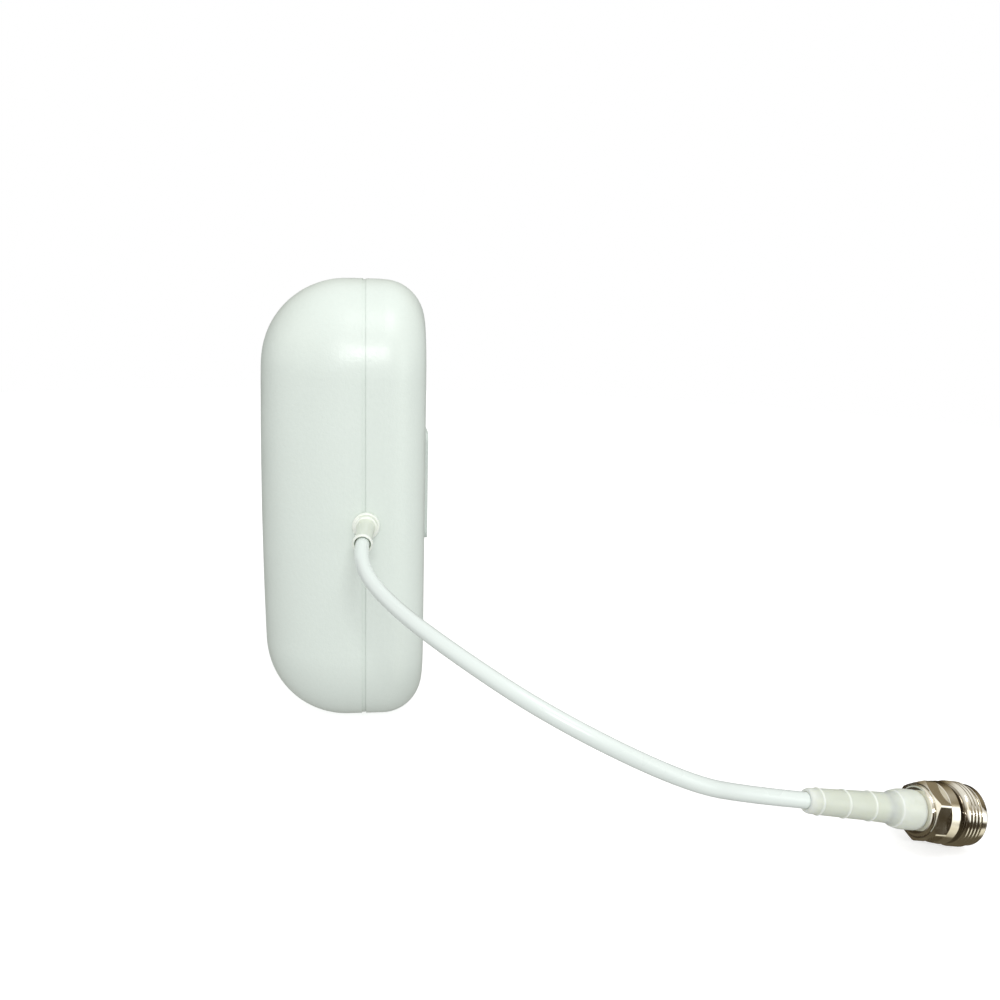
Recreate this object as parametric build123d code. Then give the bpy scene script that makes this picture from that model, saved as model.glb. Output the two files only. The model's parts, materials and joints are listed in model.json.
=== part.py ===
from build123d import *
import math
import os

# Indoor panel antenna of a cellular signal booster kit, with its coaxial pigtail.
# Millimetres. +X points to the wall side, -X to the radome front, -Y to the side that the cable
# leaves, +Z up. The antenna stands on its long edge at Z = 0, centred on X = 0 and Y = 0 with its
# wall bracket on. The connector lies on the same surface.

os.makedirs("parts", exist_ok=True)

# ------------------------------------------------------------------ housing
BODY_LENGTH = 160.0
BODY_HEIGHT = 136.0
FRONT_DEPTH = 32.4
REAR_DEPTH = 17.4
PLAN_RADIUS = 27.0
FRONT_EDGE_RADIUS = 25.5
REAR_EDGE_RADIUS = 12.2
CROWN_RADIUS = 1600.0
WALL = 2.5
BRACKET_PROUD = 3.2
SEAM_X = (FRONT_DEPTH - REAR_DEPTH - BRACKET_PROUD) / 2
FRONT_X = SEAM_X - FRONT_DEPTH
REAR_X = SEAM_X + REAR_DEPTH
WALL_FACE_X = REAR_X + BRACKET_PROUD
MID_Z = BODY_HEIGHT / 2
NEAR_Y = -BODY_LENGTH / 2
OVER = 1.0  # how far a cutting shape runs past the face that it cuts

REBATE_WIDTH = 1.2
REBATE_DEPTH = 0.3
REVEAL_WIDTH = 0.1
REVEAL_DEPTH = 0.45
TONGUE_REACH = 2.0
TONGUE_INSET = 1.4
SEAM_GAP = 0.1

# ------------------------------------------------------------------ housing screws
SCREW_Y = 62.0
SCREW_Z = 48.0
BOSS_RADIUS = 5.4
POST_RADIUS = 4.0
WELL_RADIUS = 3.4
WELL_FLOOR = 2.5
M3_RADIUS = 1.5
M3_HOLE = 1.65
M3_HEAD_RADIUS = 2.8
M3_HEAD_HEIGHT = 2.0
M3_RECESS_DEPTH = 1.2
HOUSING_SCREW_LENGTH = 14.0

# ------------------------------------------------------------------ wall bracket and its pocket
BRACKET_LENGTH = 60.0
BRACKET_HEIGHT = 36.4
BRACKET_PLATE = 2.2
BRACKET_CORNER = 3.0
BRACKET_EDGE = 0.6
TONGUE_LENGTH = 24.0
FLANGE_HALF = 9.0
FLANGE_THICK = 2.6
WEB_HALF = 5.0
TONGUE_CLEARANCE = 1.0
TONGUE_LEAD_IN = 1.5
POCKET_END_Y = 27.0
POCKET_CLEARANCE = 0.4
POCKET_WALL = 2.0
WALL_HOLE_Y = 24.0
WALL_HOLE_Z = 13.5
WALL_HOLE_RADIUS = 2.25
COUNTERSINK_RADIUS = 3.3

# ------------------------------------------------------------------ radiator stack
CABLE_RADIUS = 1.95
CORNER_SHARE = 0.45  # part of a run that the bend at either end may take
PLATE_X = SEAM_X + CABLE_RADIUS + 0.05
PLATE_THICK = 1.0
PLATE_HALF_Y = 56.0
PLATE_HALF_Z = 50.0
PLATE_CHAMFER = 14.0
PLATE_FLANGE = 8.0
PLATE_SCREW_Y = 44.0
PLATE_SCREW_Z = 36.0
PLATE_SCREW_LENGTH = 8.0
SHEET = 0.8
DRIVEN_GAP = 11.2
DRIVEN_HALF = (31.0, 35.0)
DIRECTOR_GAP = 9.2
DIRECTOR_HALF = (25.0, 29.0)
COLUMN_Y = 22.0
COLUMN_Z = 26.0
COLUMN_RADIUS = 3.2
NYLON_SCREW_RADIUS = 1.5
NYLON_HEAD_RADIUS = 3.0
NYLON_HEAD_HEIGHT = 1.8
NYLON_SLOT_WIDTH = 0.8
NYLON_SLOT_DEPTH = 0.8
NYLON_SCREW_PROUD = 1.0
NUT_HEIGHT = 2.5
NUT_CORNER = 3.2
DRIVEN_X = PLATE_X - DRIVEN_GAP
DIRECTOR_X = DRIVEN_X - SHEET - DIRECTOR_GAP

# ------------------------------------------------------------------ coax inside the housing
EXIT_Z = 67.0
JACKET_END_Y = -44.0
BRAID_END_Y = -36.0
DIELECTRIC_END_Y = -33.0
CORE_END_Y = -26.0
BRAID_RADIUS = 1.65
DIELECTRIC_RADIUS = 1.45
CORE_RADIUS = 0.46
STRAP_THICK = 0.6
STRAP_GAP = 0.05
STRAP_MARGIN = 1.0
STRAP_FOOT = 9.5
STRAP_SCREW_OFFSET = 6.3
STRIP_HALF_WIDTH = 1.5
STRIP_THICK = 0.5

# ------------------------------------------------------------------ grommet
GROMMET_HOLE_RADIUS = 3.0
GROMMET_FLANGE_RADIUS = 3.95
GROMMET_FLANGE = 1.3
GROMMET_STEP_RADIUS = 3.15
GROMMET_STEP = 0.9
GROMMET_TUBE_RADIUS = 2.5
GROMMET_LIP_RADIUS = 2.88
GROMMET_LIP = 1.3
GROMMET_BORE = 2.1
GROMMET_INNER_FLANGE = 4.2
GROMMET_KNEE = (SEAM_X, NEAR_Y, EXIT_Z)
GROMMET_MOUTH = (4.9, -92.4, 64.7)
GROMMET_KNEE_RADIUS = 15.0
GROMMET_FLANGE_ROUNDING = 0.6
GROMMET_INNER_FLANGE_THICK = 1.2

# ------------------------------------------------------------------ connector, along its own axis
# Stations run from the front end of the boot, 0, to the open end of the connector.
CONNECTOR_SEAT = (141.0, -149.4, 10.9)
CONNECTOR_YAW = 10.0
CONNECTOR_TILT = 12.5
HEX_CLOCK = 22.5
BOOT_LENGTH = 33.0
BOOT_MOUTH_RADIUS = 2.55
BOOT_TIP_RADIUS = 3.0
BOOT_STEP = 0.2
BOOT_WAIST_RADIUS = 3.7
BOOT_FLARE_RADIUS = 4.9
RIDGE_STATIONS = (-29.7, -22.1, -14.5)
RIDGE_HEIGHT = 0.18
RIDGE_HALF_WIDTH = 0.3
FERRULE_LENGTH = 10.0
FERRULE_RADIUS = 3.3
FERRULE_BORE = 2.05
CABLE_END = -28.0
TAIL_END = -1.5
RING_RADIUS = 6.2
RING_CHAMFER = 0.5
BODY_START = 0.8
HEX_END = 4.8
HEX_FLATS = 13.4
HEX_BACK_RADIUS = 6.75
HEX_ROUNDING = 7.6
COLLAR_RADIUS = 7.4
COLLAR_END = 7.3
COLLAR_END_RADIUS = 7.63
BAND_END = 9.5
BAND_END_RADIUS = 7.2
THREAD_START = 9.6
THREAD_PITCH = 25.4 / 24
THREAD_TURNS = 4
THREAD_RADIUS = 15.875 / 2
THREAD_DEPTH = 0.5
THREAD_CREST = 0.32
GROOVE_RADIUS = 7.1
LIP_START = 14.5
LIP_END = 16.4
LIP_RADIUS = 7.5
LIP_CHAMFER = 0.4
SOCKET_RADIUS = 4.05
SOCKET_FLOOR = 6.0
BEAD_START = 2.5
CONTACT_START = 2.0
CONTACT_TIP = 10.4
CONTACT_RADIUS = 1.5
CONTACT_BORE = 0.84
CONTACT_BORE_DEPTH = 5.0
CONTACT_SLOT = 0.35
CONTACT_HOLE_RADIUS = CONTACT_RADIUS + 0.1
CONTACT_CHAMFER = 0.3

# ------------------------------------------------------------------ frames
YZ = dict(x_dir=(0, 1, 0), z_dir=(1, 0, 0))


def across(x, y=0.0, z=MID_Z):
    """Plane facing +X through a point, with its own x along +Y and its own y along +Z."""
    return Plane(origin=(x, y, z), **YZ)


def connector_axis():
    yaw = math.radians(CONNECTOR_YAW)
    tilt = math.radians(CONNECTOR_TILT)
    return Vector(math.cos(tilt) * math.cos(yaw), math.cos(tilt) * math.sin(yaw), -math.sin(tilt))


AXIS = connector_axis()
SIDEWAYS = AXIS.cross(Vector(0, 0, 1)).normalized()
CONNECTOR = Plane(origin=CONNECTOR_SEAT, x_dir=SIDEWAYS, z_dir=AXIS)


def station(s):
    """Point on the connector's axis."""
    return Vector(*CONNECTOR_SEAT) + AXIS * s


# The free cable leaves the grommet in line with its sleeve, droops and swings round to the connector.
# The last two points lie on the connector's axis, behind the boot and just inside it.
GROMMET_AXIS = (Vector(*GROMMET_MOUTH) - Vector(*GROMMET_KNEE)).normalized()
ROUTE = [
    Vector(*GROMMET_MOUTH),
    Vector(*GROMMET_MOUTH) + GROMMET_AXIS * 12.0,
    Vector(10.9, -121.0, 57.8),
    Vector(23.9, -141.5, 53.3),
    Vector(45.9, -161.5, 44.0),
    Vector(75.9, -165.0, 29.2),
    station(-48.0),
    station(CABLE_END),
]


# ------------------------------------------------------------------ helpers
def block(x_from, x_to, inset):
    """Slab with the housing's rounded outline, inset from the outer surface."""
    outline = RectangleRounded(BODY_LENGTH - 2 * inset, BODY_HEIGHT - 2 * inset, PLAN_RADIUS - inset)
    return extrude(across(x_from) * outline, x_to - x_from)


def ring(x_from, x_to, outer_inset, inner_inset):
    return block(x_from, x_to, outer_inset) - block(x_from, x_to, inner_inset)


def front_form(inset):
    """Radome side of the housing: rounded, with a slight crown on its face."""
    slab = block(FRONT_X + inset, SEAM_X, inset)
    crown = Pos(FRONT_X + CROWN_RADIUS, 0, MID_Z) * Sphere(CROWN_RADIUS - inset)
    form = slab & crown
    return fillet(form.faces().sort_by(Axis.X)[0].edges(), FRONT_EDGE_RADIUS - inset)


def rear_form(inset):
    slab = block(SEAM_X, REAR_X - inset, inset)
    return fillet(slab.faces().sort_by(Axis.X)[-1].edges(), REAR_EDGE_RADIUS - inset)


def rod(x_from, x_to, y, z, radius):
    """Cylinder along X. z is measured from the middle of the housing."""
    return extrude(across(x_from, y, MID_Z + z) * Circle(radius), x_to - x_from)


def bar(x_range, y_range, z_range):
    """Box between limits. z is measured from the bottom."""
    size = [high - low for low, high in (x_range, y_range, z_range)]
    middle = [(high + low) / 2 for low, high in (x_range, y_range, z_range)]
    return Pos(*middle) * Box(*size)


def corners(y, z):
    return [(y, z), (-y, z), (-y, -z), (y, -z)]


def lengthwise(y_from, y_to, radius):
    """Cylinder along Y on the line that the cable enters the housing by."""
    base = Plane(origin=(SEAM_X, y_from, EXIT_Z), x_dir=(0, 0, 1), z_dir=(0, 1, 0))
    return extrude(base * Circle(radius), y_to - y_from)


def turned(profile):
    """Solid of revolution on the connector's axis from (station, radius) points."""
    outline = Polyline(*[(radius, 0, s) for s, radius in profile], close=True)
    return CONNECTOR * revolve(make_face(outline), Axis.Z)


def tube(path, radius):
    start = Plane(origin=path @ 0, z_dir=path % 0)
    return sweep(start * Circle(radius), path=path)


def save(name, shape):
    solids = shape if isinstance(shape, list) else [shape]
    loose = [solid for item in solids for solid in item.solids()]
    export_step(loose[0] if len(loose) == 1 else Compound(children=loose), f"parts/{name}.step")


# ------------------------------------------------------------------ housing shells
def grommet_hole():
    return lengthwise(NEAR_Y - OVER, NEAR_Y + WALL + 2, GROMMET_HOLE_RADIUS)


def front_cover():
    outer = front_form(0)
    cover = outer - front_form(WALL)
    posts = [rod(FRONT_X, SEAM_X, y, z, POST_RADIUS) & outer for y, z in corners(SCREW_Y, SCREW_Z)]
    cover = cover + posts
    screw_reach = SEAM_X - HOUSING_SCREW_LENGTH
    cover = cover - [rod(screw_reach, SEAM_X + OVER, y, z, M3_HOLE) for y, z in corners(SCREW_Y, SCREW_Z)]
    cover = cover - ring(SEAM_X - REBATE_WIDTH, SEAM_X, 0, REBATE_DEPTH)
    cover = cover - ring(SEAM_X - REVEAL_WIDTH, SEAM_X, 0, REVEAL_DEPTH)
    groove_start = SEAM_X - TONGUE_REACH - SEAM_GAP
    cover = cover - ring(groove_start, SEAM_X, TONGUE_INSET - SEAM_GAP, WALL)
    return cover - grommet_hole()


def slide_pocket_space():
    """Hollow that the bracket's tongue slides in, and its opening in the rear face."""
    window_half = FLANGE_HALF + POCKET_CLEARANCE
    slot_half = WEB_HALF + POCKET_CLEARANCE
    floor_x = REAR_X - WALL - FLANGE_THICK - 2 * POCKET_CLEARANCE
    ends = (-POCKET_END_Y, POCKET_END_Y)
    hollow = bar((floor_x, REAR_X - WALL), ends, (MID_Z - window_half, MID_Z + window_half))
    window = bar((floor_x, REAR_X + OVER), (-POCKET_END_Y, 0), (MID_Z - window_half, MID_Z + window_half))
    slot = bar((floor_x, REAR_X + OVER), ends, (MID_Z - slot_half, MID_Z + slot_half))
    return hollow + window + slot


def slide_pocket_walls():
    half_z = FLANGE_HALF + POCKET_CLEARANCE + POCKET_WALL
    half_y = POCKET_END_Y + POCKET_WALL
    floor_x = REAR_X - WALL - FLANGE_THICK - 2 * POCKET_CLEARANCE - POCKET_WALL
    return bar((floor_x, REAR_X - WALL / 2), (-half_y, half_y), (MID_Z - half_z, MID_Z + half_z))


def rear_cover():
    outer = rear_form(0)
    cover = outer - rear_form(WALL)
    cover = cover + ring(SEAM_X - TONGUE_REACH, SEAM_X + OVER, TONGUE_INSET, WALL)
    boss_start = SEAM_X + SEAM_GAP
    bosses = [rod(boss_start, REAR_X, y, z, BOSS_RADIUS) & outer for y, z in corners(SCREW_Y, SCREW_Z)]
    plate_posts = [
        rod(PLATE_X + PLATE_THICK, REAR_X - WALL / 2, y, z, POST_RADIUS)
        for y, z in corners(PLATE_SCREW_Y, PLATE_SCREW_Z)
    ]
    cover = cover + bosses + plate_posts + slide_pocket_walls()
    cover = cover - [
        rod(boss_start + WELL_FLOOR, REAR_X + OVER, y, z, WELL_RADIUS) for y, z in corners(SCREW_Y, SCREW_Z)
    ]
    cover = cover - [rod(SEAM_X - OVER, REAR_X, y, z, M3_HOLE) for y, z in corners(SCREW_Y, SCREW_Z)]
    plate_back = PLATE_X + PLATE_THICK
    cover = cover - [
        rod(plate_back - OVER, plate_back + PLATE_SCREW_LENGTH, y, z, M3_HOLE)
        for y, z in corners(PLATE_SCREW_Y, PLATE_SCREW_Z)
    ]
    return cover - slide_pocket_space() - grommet_hole()


def cross_recess(x, y, z, depth):
    """Cross-head recess cut from x towards -X."""
    arm = 1.6
    half = 0.32
    upright = bar((x - depth, x + OVER), (y - half, y + half), (MID_Z + z - arm, MID_Z + z + arm))
    level = bar((x - depth, x + OVER), (y - arm, y + arm), (MID_Z + z - half, MID_Z + z + half))
    return upright + level


def housing_screws():
    seat = SEAM_X + SEAM_GAP + WELL_FLOOR
    screws = []
    for y, z in corners(SCREW_Y, SCREW_Z):
        shank = rod(seat - HOUSING_SCREW_LENGTH, seat, y, z, M3_RADIUS)
        head = rod(seat, seat + M3_HEAD_HEIGHT, y, z, M3_HEAD_RADIUS)
        screws.append(shank + head - cross_recess(seat + M3_HEAD_HEIGHT, y, z, M3_RECESS_DEPTH))
    return screws


# ------------------------------------------------------------------ wall bracket
def wall_bracket():
    """Plate that screws to the wall, with a T tongue that the rear cover hooks over."""
    plate_x = WALL_FACE_X - BRACKET_PLATE
    outline = RectangleRounded(BRACKET_LENGTH, BRACKET_HEIGHT, BRACKET_CORNER)
    plate = extrude(across(plate_x) * outline, BRACKET_PLATE)
    plate = fillet(plate.faces().sort_by(Axis.X)[0].edges(), BRACKET_EDGE)
    tongue_end = POCKET_END_Y - TONGUE_CLEARANCE
    tongue_y = (tongue_end - TONGUE_LENGTH, tongue_end)
    flange_top = REAR_X - WALL - POCKET_CLEARANCE
    web = bar((flange_top, plate_x), tongue_y, (MID_Z - WEB_HALF, MID_Z + WEB_HALF))
    flange_x = (flange_top - FLANGE_THICK, flange_top)
    flange = bar(flange_x, tongue_y, (MID_Z - FLANGE_HALF, MID_Z + FLANGE_HALF))
    flange = chamfer(flange.edges().filter_by(Axis.X).group_by(Axis.Y)[-1], TONGUE_LEAD_IN)
    bracket = plate + web + flange
    sink = COUNTERSINK_RADIUS - WALL_HOLE_RADIUS
    for y, z in corners(WALL_HOLE_Y, WALL_HOLE_Z):
        bracket -= rod(plate_x - OVER, WALL_FACE_X + OVER, y, z, WALL_HOLE_RADIUS)
        cone = Cone(COUNTERSINK_RADIUS, WALL_HOLE_RADIUS, sink, align=(Align.CENTER, Align.CENTER, Align.MIN))
        bracket -= across(plate_x, y, MID_Z + z) * cone
    return bracket


# ------------------------------------------------------------------ radiator stack
def reflector_plate():
    """Aluminium sheet with its long edges bent forwards."""
    outline = Rectangle(2 * PLATE_HALF_Y, 2 * PLATE_HALF_Z)
    outline = chamfer(outline.vertices(), PLATE_CHAMFER)
    plate = extrude(across(PLATE_X) * outline, PLATE_THICK)
    edge_half = PLATE_HALF_Y - PLATE_CHAMFER
    for side in (-1, 1):
        edge = MID_Z + side * (PLATE_HALF_Z - PLATE_THICK / 2)
        z_range = (edge - PLATE_THICK / 2, edge + PLATE_THICK / 2)
        plate += bar((PLATE_X - PLATE_FLANGE, PLATE_X + PLATE_THICK), (-edge_half, edge_half), z_range)
    holes = corners(PLATE_SCREW_Y, PLATE_SCREW_Z) + corners(COLUMN_Y, COLUMN_Z)
    plate -= [rod(PLATE_X - OVER, PLATE_X + PLATE_THICK + OVER, y, z, M3_HOLE) for y, z in holes]
    clamp_y = (JACKET_END_Y + BRAID_END_Y) / 2
    offset = EXIT_Z - MID_Z
    clamp_holes = [(clamp_y, offset + STRAP_SCREW_OFFSET), (clamp_y, offset - STRAP_SCREW_OFFSET)]
    return plate - [rod(PLATE_X - OVER, PLATE_X + PLATE_THICK + OVER, y, z, M3_HOLE) for y, z in clamp_holes]


def reflector_screws():
    screws = []
    for y, z in corners(PLATE_SCREW_Y, PLATE_SCREW_Z):
        shank = rod(PLATE_X, PLATE_X + PLATE_SCREW_LENGTH, y, z, M3_RADIUS)
        screws.append(shank + rod(PLATE_X - M3_HEAD_HEIGHT, PLATE_X, y, z, M3_HEAD_RADIUS))
    return screws


def patch(x, half):
    """Square radiator sheet whose rear face is at x."""
    sheet = extrude(across(x - SHEET) * RectangleRounded(2 * half[0], 2 * half[1], 1.5), SHEET)
    return sheet - [rod(x - SHEET - OVER, x + OVER, y, z, M3_HOLE) for y, z in corners(COLUMN_Y, COLUMN_Z)]


def columns(x_from, x_to):
    return [
        rod(x_from, x_to, y, z, COLUMN_RADIUS) - rod(x_from - OVER, x_to + OVER, y, z, M3_HOLE)
        for y, z in corners(COLUMN_Y, COLUMN_Z)
    ]


def column_screws():
    head_x = DIRECTOR_X - SHEET
    end_x = PLATE_X + PLATE_THICK + NUT_HEIGHT + NYLON_SCREW_PROUD
    screws = []
    for y, z in corners(COLUMN_Y, COLUMN_Z):
        shank = rod(head_x, end_x, y, z, NYLON_SCREW_RADIUS)
        head = rod(head_x - NYLON_HEAD_HEIGHT, head_x, y, z, NYLON_HEAD_RADIUS)
        slot_x = (head_x - NYLON_HEAD_HEIGHT - OVER, head_x - NYLON_HEAD_HEIGHT + NYLON_SLOT_DEPTH)
        slot_y = (y - NYLON_HEAD_RADIUS, y + NYLON_HEAD_RADIUS)
        slot = bar(slot_x, slot_y, (MID_Z + z - NYLON_SLOT_WIDTH / 2, MID_Z + z + NYLON_SLOT_WIDTH / 2))
        screws.append(shank + head - slot)
    return screws


def column_nuts():
    nuts = []
    start = PLATE_X + PLATE_THICK
    for y, z in corners(COLUMN_Y, COLUMN_Z):
        hexagon = extrude(across(start, y, MID_Z + z) * RegularPolygon(NUT_CORNER, 6), NUT_HEIGHT)
        nuts.append(hexagon - rod(start - OVER, start + NUT_HEIGHT + OVER, y, z, M3_HOLE))
    return nuts


# ------------------------------------------------------------------ coax inside the housing
def entry_path(inner_y):
    """Line of the cable from the grommet's mouth through the wall to inner_y."""
    return FilletPolyline(GROMMET_MOUTH, GROMMET_KNEE, (SEAM_X, inner_y, EXIT_Z), radius=GROMMET_KNEE_RADIUS)


def inner_cable():
    return tube(entry_path(JACKET_END_Y), CABLE_RADIUS)


def coax_braid():
    sleeve = lengthwise(JACKET_END_Y, BRAID_END_Y, BRAID_RADIUS)
    return sleeve - lengthwise(JACKET_END_Y, BRAID_END_Y, DIELECTRIC_RADIUS)


def coax_dielectric():
    core = lengthwise(JACKET_END_Y, DIELECTRIC_END_Y, CORE_RADIUS)
    return lengthwise(JACKET_END_Y, DIELECTRIC_END_Y, DIELECTRIC_RADIUS) - core


def coax_core():
    return lengthwise(JACKET_END_Y, CORE_END_Y, CORE_RADIUS)


def cable_clamp():
    """Saddle strap that grounds the braid to the reflector."""
    y_range = (JACKET_END_Y + STRAP_MARGIN, BRAID_END_Y - STRAP_MARGIN)
    inner = BRAID_RADIUS + STRAP_GAP
    outer = inner + STRAP_THICK
    arch = lengthwise(*y_range, outer) + bar((SEAM_X, PLATE_X), y_range, (EXIT_Z - outer, EXIT_Z + outer))
    feet = bar((PLATE_X - STRAP_THICK, PLATE_X), y_range, (EXIT_Z - STRAP_FOOT, EXIT_Z + STRAP_FOOT))
    strap = arch + feet
    cut_range = (y_range[0] - OVER, y_range[1] + OVER)
    strap -= lengthwise(*cut_range, inner)
    strap -= bar((SEAM_X, PLATE_X + OVER), cut_range, (EXIT_Z - inner, EXIT_Z + inner))
    strap -= bar((PLATE_X, PLATE_X + outer), cut_range, (EXIT_Z - STRAP_FOOT, EXIT_Z + STRAP_FOOT))
    clamp_y = sum(y_range) / 2
    for side in (-1, 1):
        z = EXIT_Z - MID_Z + side * STRAP_SCREW_OFFSET
        strap -= rod(PLATE_X - STRAP_THICK - OVER, PLATE_X + OVER, clamp_y, z, M3_HOLE)
    return strap


def clamp_screws():
    clamp_y = (JACKET_END_Y + BRAID_END_Y) / 2
    head_x = PLATE_X - STRAP_THICK
    screws = []
    for side in (-1, 1):
        z = EXIT_Z - MID_Z + side * STRAP_SCREW_OFFSET
        shank = rod(head_x, head_x + 5, clamp_y, z, M3_RADIUS)
        screws.append(shank + rod(head_x - M3_HEAD_HEIGHT, head_x, clamp_y, z, M3_HEAD_RADIUS))
    return screws


def feed_strip():
    """Brass strip that rises from the coax core to the driven patch."""
    z_range = (EXIT_Z - STRIP_HALF_WIDTH, EXIT_Z + STRIP_HALF_WIDTH)
    foot_x = SEAM_X - CORE_RADIUS
    riser_y = (CORE_END_Y - STRIP_THICK, CORE_END_Y)
    riser = bar((DRIVEN_X, foot_x), riser_y, z_range)
    foot = bar((foot_x - STRIP_THICK, foot_x), (CORE_END_Y - 5, CORE_END_Y), z_range)
    return riser + foot


# ------------------------------------------------------------------ grommet
def cable_grommet():
    sleeve = tube(entry_path(NEAR_Y + WALL), GROMMET_TUBE_RADIUS)
    flange_end = NEAR_Y - GROMMET_FLANGE
    flange = lengthwise(flange_end, NEAR_Y, GROMMET_FLANGE_RADIUS)
    flange = fillet(flange.edges().group_by(Axis.Y)[0], GROMMET_FLANGE_ROUNDING)
    step = lengthwise(flange_end - GROMMET_STEP, flange_end, GROMMET_STEP_RADIUS)
    neck = lengthwise(NEAR_Y, NEAR_Y + WALL, GROMMET_HOLE_RADIUS - SEAM_GAP)
    inner_start = NEAR_Y + WALL
    inner = lengthwise(inner_start, inner_start + GROMMET_INNER_FLANGE_THICK, GROMMET_INNER_FLANGE)
    mouth = Plane(origin=GROMMET_MOUTH, z_dir=GROMMET_AXIS)
    lip = mouth * Pos(0, 0, -GROMMET_LIP / 2) * Cylinder(GROMMET_LIP_RADIUS, GROMMET_LIP)
    grommet = sleeve + lip + flange + step + neck + inner
    return grommet - tube(entry_path(NEAR_Y + 8), GROMMET_BORE)


# ------------------------------------------------------------------ connector
def strain_relief_boot():
    """Soft ribbed sleeve, thin at the cable and flared over the crimp."""
    outer = [(-BOOT_LENGTH, BOOT_MOUTH_RADIUS), (-BOOT_LENGTH + 0.8, BOOT_TIP_RADIUS)]
    for index, ridge in enumerate(RIDGE_STATIONS):
        radius = BOOT_TIP_RADIUS + 0.1 + BOOT_STEP * index
        outer += [(ridge - RIDGE_HALF_WIDTH, radius), (ridge, radius + RIDGE_HEIGHT)]
        outer.append((ridge + RIDGE_HALF_WIDTH, radius))
    outer += [(-9.0, BOOT_WAIST_RADIUS), (-7.6, BOOT_WAIST_RADIUS + 0.3)]
    outer += [(-6.2, BOOT_FLARE_RADIUS - 0.3), (-5.0, BOOT_FLARE_RADIUS - 0.05)]
    outer += [(-0.6, BOOT_FLARE_RADIUS), (0.0, BOOT_FLARE_RADIUS - 0.15)]
    inner = [(0.0, FERRULE_RADIUS), (-FERRULE_LENGTH, FERRULE_RADIUS)]
    inner += [(-FERRULE_LENGTH, FERRULE_BORE), (-BOOT_LENGTH, FERRULE_BORE)]
    return turned(outer + inner)


def crimp_ferrule():
    back = -FERRULE_LENGTH
    return turned([(back, FERRULE_BORE), (back, FERRULE_RADIUS), (0, FERRULE_RADIUS), (0, FERRULE_BORE)])


def clamp_ring():
    chamfered = [(0, RING_RADIUS - RING_CHAMFER), (RING_CHAMFER, RING_RADIUS)]
    return turned([(0, FERRULE_BORE), *chamfered, (BODY_START, RING_RADIUS), (BODY_START, FERRULE_BORE)])


def thread_profile():
    """Crests and roots of the coupling thread, as rings."""
    flank = (THREAD_PITCH - 2 * THREAD_CREST) / 2
    root = THREAD_RADIUS - THREAD_DEPTH
    points = []
    for turn in range(THREAD_TURNS):
        start = THREAD_START + turn * THREAD_PITCH
        points += [(start, root), (start + flank, THREAD_RADIUS)]
        points += [(start + flank + THREAD_CREST, THREAD_RADIUS), (start + 2 * flank + THREAD_CREST, root)]
    return points


def barrel():
    """Collar, band, thread, groove and lip, in front of the hexagon."""
    outer = [(HEX_END, COLLAR_RADIUS), (COLLAR_END, COLLAR_END_RADIUS), (BAND_END, BAND_END_RADIUS)]
    outer += thread_profile()
    outer += [(LIP_START - 0.45, GROOVE_RADIUS), (LIP_START - 0.1, GROOVE_RADIUS), (LIP_START, LIP_RADIUS)]
    outer += [(LIP_END - LIP_CHAMFER, LIP_RADIUS), (LIP_END, LIP_RADIUS - LIP_CHAMFER)]
    return turned([(HEX_END, 0), *outer, (LIP_END, 0)])


def hexagon():
    """Spanner flats with their corners turned down."""
    prism = extrude(Rot(0, 0, HEX_CLOCK) * RegularPolygon(HEX_FLATS / math.sqrt(3), 6), HEX_END - BODY_START)
    slope_end = BODY_START + HEX_ROUNDING - HEX_BACK_RADIUS
    rounding = [(BODY_START, 0), (BODY_START, HEX_BACK_RADIUS), (slope_end, HEX_ROUNDING)]
    rounding += [(HEX_END, HEX_ROUNDING), (HEX_END, 0)]
    return (CONNECTOR * Pos(0, 0, BODY_START) * prism) & turned(rounding)


def connector_body():
    start = BODY_START - OVER
    end = LIP_END + OVER
    bore = [(start, 0), (start, CONTACT_HOLE_RADIUS), (BEAD_START, CONTACT_HOLE_RADIUS)]
    bore += [(BEAD_START, SOCKET_RADIUS), (end, SOCKET_RADIUS), (end, 0)]
    return barrel() + hexagon() - turned(bore)


def connector_insulator():
    """Bead that centres the contact in the socket."""
    inner = [(SOCKET_FLOOR, CONTACT_RADIUS), (BEAD_START, CONTACT_RADIUS)]
    return turned([(BEAD_START, SOCKET_RADIUS), (SOCKET_FLOOR, SOCKET_RADIUS), *inner])


def centre_contact():
    """Female contact with a slotted tip."""
    bore_start = CONTACT_TIP - CONTACT_BORE_DEPTH
    chamfer_start = CONTACT_TIP - CONTACT_CHAMFER
    outline = [(CONTACT_START, 0), (CONTACT_START, CONTACT_RADIUS), (chamfer_start, CONTACT_RADIUS)]
    outline += [(CONTACT_TIP, CONTACT_RADIUS - CONTACT_CHAMFER), (CONTACT_TIP, CONTACT_BORE)]
    outline += [(bore_start, CONTACT_BORE), (bore_start, 0)]
    pin = turned(outline)
    slot_length = CONTACT_TIP - SOCKET_FLOOR - 0.6
    middle = CONTACT_TIP - slot_length / 2 + 0.5
    blade = Box(2 * CONTACT_RADIUS + OVER, CONTACT_SLOT, slot_length + OVER)
    for turn in (0, 90):
        pin -= CONNECTOR * Pos(0, 0, middle) * Rot(0, 0, turn) * blade
    return pin


def cable_tail():
    """End of the jacketed cable, held straight inside the boot and the ferrule."""
    return turned([(CABLE_END, 0), (CABLE_END, CABLE_RADIUS), (TAIL_END, CABLE_RADIUS), (TAIL_END, 0)])


def pigtail_dielectric():
    outer = [(TAIL_END, DIELECTRIC_RADIUS), (CONTACT_START, DIELECTRIC_RADIUS)]
    return turned([(TAIL_END, 0), *outer, (CONTACT_START, 0)])


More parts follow.
